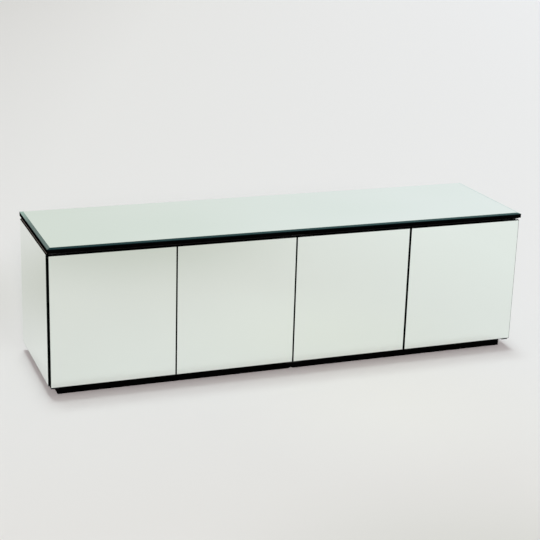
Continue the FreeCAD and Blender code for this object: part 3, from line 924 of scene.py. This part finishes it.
@dataclass
class PivotHinges:
    """The fixed halves of the pivot hinges: black steel plates with pins, washers and screws."""

    pivot_x_mm: tuple[float, ...] = (-896.0, -18.25, 13.25, 900.0)
    pivot_y_mm: float = -232.5
    upper_pitch_mm: float = 8.5
    lower_pitch_mm: float = 4.5
    lower_row_mm: float = -207.5
    end_screw_x_mm: float = 895.5
    plate_thick: float = 3.0 * MM
    head_radius: float = 2.6 * MM

    def build(self) -> None:
        """Make the countersunk screws of the upper and the lower plates."""
        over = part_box("top_board")[0].z - self.plate_thick
        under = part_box("middle_pivot_plates")[0].z
        upper = [self.pivot_y_mm + sign * self.upper_pitch_mm for sign in (-1, 1)]
        lower = [self.lower_row_mm + sign * self.lower_pitch_mm for sign in (-1, 1)]
        ends = (-self.end_screw_x_mm, self.end_screw_x_mm)
        screws = ScrewSet("pivot_plate_screws", "carcase", Head.COUNTERSUNK, self.head_radius, BLACK_STEEL)
        for x, y, z in (*product(self.pivot_x_mm, upper, (over,)), *product(ends, lower, (under,)),
                        *product(self.pivot_x_mm[1:3], (self.lower_row_mm,), (under,))):
            screws.add((x * MM, y * MM, z), (0, 0, -1))
        screws.build()

    def dress(self, nodes: dict[str, Object]) -> None:
        """Give the plates their black steel and the washers their nylon.

        Args:
            nodes: the frame's nodes by name.
        """
        for name in ("left_pivot_plates", "middle_pivot_plates", "right_pivot_plates"):
            dress(nodes[name], BLACK_STEEL)
        dress(nodes["pivot_washers"], PALE_NYLON)


@dataclass
class Door:
    """One door: a lacquered board with a full-face mirror, hinge leaves, a strike and two soft bumpers.

    The bumper's profile is in parts of its radius and height.
    """

    number: int
    hinge: Side
    leaf_thick: float = 3.0 * MM
    leaf_corner: float = 1.6 * MM
    leaf_ease: float = 0.25 * MM
    leaf_screws: tuple[float, ...] = (34.0 * MM, 54.0 * MM)
    leaf_row: float = -229.5 * MM
    strike_corner: float = 3.0 * MM
    strike_ease: float = 0.3 * MM
    strike_screw_rise: float = 7.0 * MM
    screw_radius: float = 2.4 * MM
    bumper_radius: float = 3.0 * MM
    bumper_facets: int = 24
    bumper: tuple[Pair, ...] = ((0.0, 0.0), (1.0, 0.0), (1.0, 0.35), (0.94, 0.6), (0.78, 0.82), (0.5, 0.95),
                                (0.0, 1.0))

    @property
    def body(self) -> str:
        """Return the name of the CAD body that swings with this door."""
        return f"door_{self.number}"

    def part(self, word: str) -> str:
        """Return the name of one of this door's pieces or CAD nodes."""
        return f"door_{self.number}_{word}"

    def build(self) -> None:
        """Make the door's mirror, its leaves, its strike, its bumpers and its screws."""
        MirrorPane(self.part("mirror"), self.body, Facing.FRONT).build()
        self.build_leaves()
        bm = bmesh.new()
        plate(bm, *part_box(self.part("strike")), 1, self.strike_corner, self.strike_ease)
        make_piece(self.part("strike_plate"), bm, self.body, (ZINC,), (self.part("strike"),))
        self.build_bumpers()
        self.build_screws()

    def build_leaves(self) -> None:
        """Make the leaves let into the door's top and bottom edges."""
        low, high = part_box(self.part("hinge_leaves"))
        bm = bmesh.new()
        for bottom in (low.z, high.z - self.leaf_thick):
            plate(bm, (low.x, low.y, bottom), (high.x, high.y, bottom + self.leaf_thick), 2, self.leaf_corner,
                  self.leaf_ease)
        make_piece(self.part("leaf_plates"), bm, self.body, (ZINC,), (self.part("hinge_leaves"),))

    def build_bumpers(self) -> None:
        """Make the silicone buds near the free edge."""
        low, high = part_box(self.part("bumpers"))
        radius = self.bumper_radius
        profile = [(across * radius, up * (high.y - low.y)) for across, up in self.bumper]
        bm = bmesh.new()
        for z in (low.z + radius, high.z - radius):
            turned(bm, profile, seat(((low.x + high.x) / 2.0, low.y, z), (0, 1, 0)), self.bumper_facets)
        make_piece(self.part("bumper_buds"), bm, self.body, (SILICONE,), (self.part("bumpers"),), smooth=50.0)

    def build_screws(self) -> None:
        """Make the leaves' and the strike's screws."""
        low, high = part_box(self.part("board"))
        edge = low.x if self.hinge is Side.LEFT else high.x
        screws = ScrewSet(self.part("screws"), self.body, Head.COUNTERSUNK, self.screw_radius)
        for along in self.leaf_screws:
            x = edge - self.hinge.value * along
            screws.add((x, self.leaf_row, high.z), (0, 0, 1))
            screws.add((x, self.leaf_row, low.z), (0, 0, -1))
        low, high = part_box(self.part("strike"))
        screws.add(((low.x + high.x) / 2.0, high.y, low.z + self.strike_screw_rise), (0, 1, 0))
        screws.build()

    def dress(self, nodes: dict[str, Object]) -> None:
        """Give the door's board its stain and its black front."""
        dress(nodes[self.part("board")], DOOR_BOARD)


@dataclass
class TouchLatch:
    """One touch latch: a moulded housing under the carcase top and the sprung plunger in it.

    The ears' ends and screws are measured from the housing's front, and the plunger's nose is listed from the
    shaft to the tip as (how far it is drawn in, how far it lies behind the tip).
    """

    number: int
    case_half: float = 7.2 * MM
    case_ease: float = 1.0 * MM
    ear_start: float = 12.9 * MM
    ear_end: float = 36.9 * MM
    ear_thick: float = 3.0 * MM
    ear_corner: float = 4.0 * MM
    ear_ease: float = 0.4 * MM
    ribs: tuple[float, ...] = (0.62, 0.78, 0.94)
    rib_half: float = 8.0 * MM
    rib_half_thick: float = 0.7 * MM
    rib_inset: float = 1.5 * MM
    rib_ease: float = 0.3 * MM
    bore: float = 4.3 * MM
    collar: float = 6.2 * MM
    collar_ease: float = 0.5 * MM
    lip: float = 1.6 * MM
    screw_radius: float = 2.8 * MM
    screw_back: float = 24.9 * MM
    screw_reach: float = 13.0 * MM
    nose_mm: tuple[Pair, ...] = ((0.0, 2.6), (0.35, 2.3), (0.35, 0.9), (0.7, 0.25), (1.3, 0.0))

    def build(self) -> None:
        """Make the housing with its ears, ribs and collar, the plunger and the ears' screws."""
        name = f"latch_{self.number}_housing"
        low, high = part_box(name)
        middle = (low.x + high.x) / 2.0
        front, ear_under = low.y + self.lip, high.z - self.ear_thick
        bm = bmesh.new()
        block(bm, (middle - self.case_half, front, low.z), (middle + self.case_half, high.y, high.z),
              self.case_ease, 3)
        plate(bm, (low.x, low.y + self.ear_start, ear_under), (high.x, low.y + self.ear_end, high.z), 2,
              self.ear_corner, self.ear_ease)
        for share in self.ribs:
            y = low.y + share * (high.y - low.y)
            block(bm, (middle - self.rib_half, y - self.rib_half_thick, low.z + self.rib_inset),
                  (middle + self.rib_half, y + self.rib_half_thick, high.z - self.rib_inset), self.rib_ease)
        ring = ((self.bore, 0.0), (self.collar, 0.0), (self.collar, self.lip - self.collar_ease),
                (self.collar - self.collar_ease, self.lip), (self.bore, self.lip), (self.bore, 0.0))
        turned(bm, ring, seat((middle, front, (low.z + high.z) / 2.0), (0, -1, 0)))
        make_piece(f"latch_{self.number}_case", bm, "carcase", (BLACK_NYLON,), (name,))
        self.build_plunger()
        screws = ScrewSet(f"latch_{self.number}_screws", "carcase", Head.PAN, self.screw_radius)
        for sign in (-1, 1):
            screws.add((middle + sign * self.screw_reach, low.y + self.screw_back, ear_under), (0, 0, -1))
        screws.build()

    def build_plunger(self) -> None:
        """Make the plunger: a round nylon rod with a stepped, rounded nose."""
        name = f"latch_{self.number}_plunger"
        low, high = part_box(name)
        radius, length = (high.x - low.x) / 2.0, high.y - low.y
        nose = [(radius - inward * MM, length - behind * MM) for inward, behind in self.nose_mm]
        bm = bmesh.new()
        turned(bm, [(0.0, 0.0), (radius, 0.0), *nose, (0.0, length)],
               seat(((low.x + high.x) / 2.0, high.y, (low.z + high.z) / 2.0), (0, -1, 0)))
        make_piece(f"latch_{self.number}_rod", bm, f"plunger_{self.number}", (PALE_NYLON,), (name,),
                   smooth=50.0)


@dataclass(frozen=True)
class Lamp:
    """A far, soft lamp: its share of the floor's light, its tint, and its place and spread in degrees."""

    name: str
    share: float
    tint: str
    bearing: float
    height: float
    spread: float

    def build(self) -> None:
        """Hang the lamp at its bearing from the front and its height over the floor."""
        lamp = bpy.data.lights.new(self.name, "SUN")
        turn, rise = math.radians(self.bearing), math.radians(self.height)
        # A lamp of strength pi straight overhead lights white paper to full white.
        lamp.energy = math.pi * self.share / math.sin(rise)
        lamp.angle = math.radians(self.spread)
        lamp.color = linear(self.tint)[:3]
        holder = bpy.data.objects.new(self.name, lamp)
        outward = Vector((math.sin(turn) * math.cos(rise), -math.cos(turn) * math.cos(rise), math.sin(rise)))
        holder.rotation_euler = outward.to_track_quat("Z", "Y").to_euler()
        holder.visible_glossy = False
        holder.visible_camera = False
        bpy.context.scene.collection.objects.link(holder)
        log.info("%s hung", self.name)


@dataclass(frozen=True)
class Ramp:
    """A soft change in the room: the axis it runs along, and how far along it begins and ends."""

    axis: str
    start: float
    end: float


@dataclass
class Studio:
    """The pale studio: seamless floor, even light, three soft lamps and the camera."""

    eye: Triple = (-1.79229, -4.62997, 1.90458)
    yaw: float = 21.0345
    pitch: float = 17.7049
    roll: float = 1.7773
    focal_px: float = 1366.8
    frame_px: float = 540.0
    sensor: float = 36.0
    sight: float = 200.0
    floor_half: float = 40.0
    even_light: float = 0.30
    lamps: tuple[Lamp, ...] = (Lamp("overhead_lamp", 0.18, "#F3FFFF", 180.0, 86.8, 3.0),
                               Lamp("high_back_lamp", 0.23, "#F3FFFF", 180.0, 80.0, 12.0),
                               Lamp("front_fill", 0.33, "#FFF1F1", -14.0, 20.0, 14.0))
    pale_left: str = "#DEE1DA"
    pale_right: str = "#EEF1F2"
    hazy: str = "#8C8A8A"
    dark_left: str = "#36474D"
    dark_right: str = "#606C70"
    overhead: str = "#D9DAD9"
    to_right: Ramp = Ramp("X", 0.1, 0.6)
    to_haze: Ramp = Ramp("Z", 0.309, 0.326)
    to_dark: Ramp = Ramp("Z", 0.40, 0.56)
    back_wall: tuple[Ramp, ...] = (Ramp("Y", 0.3, 0.55), Ramp("X", -0.15, 0.0), Ramp("X", 0.72, 0.56))
    to_ceiling: Ramp = Ramp("Z", 0.74, 0.95)

    def build(self) -> None:
        """Set up the floor, the light and the camera."""
        self.build_floor()
        self.build_world()
        for lamp in self.lamps:
            lamp.build()
        self.build_camera()
        bpy.context.scene.view_settings.view_transform = "Standard"

    def build_floor(self) -> None:
        """Lay the studio paper."""
        bm = bmesh.new()
        bmesh.ops.create_grid(bm, x_segments=8, y_segments=8, size=self.floor_half)
        mesh = bpy.data.meshes.new("studio_floor")
        bm.to_mesh(mesh)
        bm.free()
        mesh.materials.append(PAPER.material())
        floor = bpy.data.objects.new("studio_floor", mesh)
        bpy.context.scene.collection.objects.link(floor)
        log.info("studio floor laid")

    def mask(self, tree: NodeTree, way: Node, ramps: Iterable[Ramp]) -> NodeSocket:
        """Build a mask over the directions in the room.

        Args:
            tree: the world's node tree.
            way: the node that gives the direction's three shares.
            ramps: the changes that bound the mask.

        Returns:
            A value that is one where every ramp has ended and nought where one hasn't begun.
        """
        share = 1.0
        for ramp in ramps:
            share = add_node(tree, "ShaderNodeMapRange", SOFT_RAMP, {
                "Value": way.outputs[ramp.axis], "From Min": ramp.start, "From Max": ramp.end,
                "To Max": share}).outputs["Result"]
        return share

    def build_world(self) -> None:
        """Light the room evenly, and let the mirrors see a pale room with one dark stretch of upper wall."""
        world = bpy.data.worlds.new("studio_room")
        bpy.context.scene.world = world
        world.use_nodes = True
        tree = world.node_tree
        tree.nodes.clear()
        rays = add_node(tree, "ShaderNodeLightPath").outputs
        seen = rays["Is Camera Ray"]
        for ray in ("Is Glossy Ray", "Is Transmission Ray"):
            seen = add_node(tree, "ShaderNodeMath", {"operation": "MAXIMUM"}, {
                0: seen, 1: rays[ray]}).outputs[0]
        # A ray that has already met a matt surface carries light, so it takes the even light instead.
        direct = add_node(tree, "ShaderNodeMath", {"operation": "LESS_THAN"}, {
            0: rays["Diffuse Depth"], 1: 0.5})
        seen = add_node(tree, "ShaderNodeMath", {"operation": "MULTIPLY"}, {0: seen, 1: direct.outputs[0]})
        way = add_node(tree, "ShaderNodeTexCoord").outputs["Generated"]
        way = add_node(tree, "ShaderNodeSeparateXYZ", sockets={0: way})
        rightward = self.mask(tree, way, (self.to_right,))
        tone, dark = (add_node(tree, "ShaderNodeMix", COLOURS, {
            FACTOR: rightward, FIRST: left, SECOND: right}).outputs[MIXED] for left, right in (
                (self.pale_left, self.pale_right), (self.dark_left, self.dark_right)))
        for ramps, colour in (((self.to_haze, *self.back_wall), self.hazy),
                              ((self.to_dark, *self.back_wall), dark),
                              ((self.to_ceiling,), self.overhead)):
            tone = add_node(tree, "ShaderNodeMix", COLOURS, {
                FACTOR: self.mask(tree, way, ramps), FIRST: tone, SECOND: colour}).outputs[MIXED]
        room = add_node(tree, "ShaderNodeBackground", sockets={"Color": tone, "Strength": 1.0})
        light = add_node(tree, "ShaderNodeBackground", sockets={
            "Color": "#FFFFFF", "Strength": self.even_light})
        mix = add_node(tree, "ShaderNodeMixShader", sockets={
            0: seen.outputs[0], 1: light.outputs[0], 2: room.outputs[0]})
        add_node(tree, "ShaderNodeOutputWorld", sockets={"Surface": mix.outputs[0]})
        log.info("studio room lit")

    def build_camera(self) -> None:
        """Stand the camera where the view of the sideboard was taken from."""
        yaw, pitch, roll = (math.radians(angle) for angle in (self.yaw, self.pitch, self.roll))
        ahead = Vector((math.sin(yaw) * math.cos(pitch), math.cos(yaw) * math.cos(pitch), -math.sin(pitch)))
        level = Vector((math.cos(yaw), -math.sin(yaw), 0.0))
        upright = level.cross(ahead)
        right = math.cos(roll) * level + math.sin(roll) * upright
        up = math.cos(roll) * upright - math.sin(roll) * level
        lens = bpy.data.cameras.new("studio_camera")
        lens.sensor_width = self.sensor
        lens.lens = self.focal_px / self.frame_px * self.sensor
        lens.clip_end = self.sight
        camera = bpy.data.objects.new("studio_camera", lens)
        camera.matrix_world = Matrix.Translation(self.eye) @ Matrix((right, up, -ahead)).transposed().to_4x4()
        bpy.context.scene.collection.objects.link(camera)
        bpy.context.scene.camera = camera
        log.info("camera set")


def main() -> None:
    """Load the frame, build and dress every sub-assembly and set the studio."""
    logging.basicConfig(level=logging.INFO, format="%(name)s: %(message)s")
    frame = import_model()
    nodes = frame["nodes"]
    MirrorTop().build()
    for assembly in (Carcase(), Plinth(), PivotHinges()):
        assembly.build()
        assembly.dress(nodes)
    for number, hinge in enumerate((Side.LEFT, Side.RIGHT, Side.LEFT, Side.RIGHT), 1):
        door = Door(number, hinge)
        door.build()
        door.dress(nodes)
        TouchLatch(number).build()
    Studio().build()


if __name__ == "__main__":
    main()
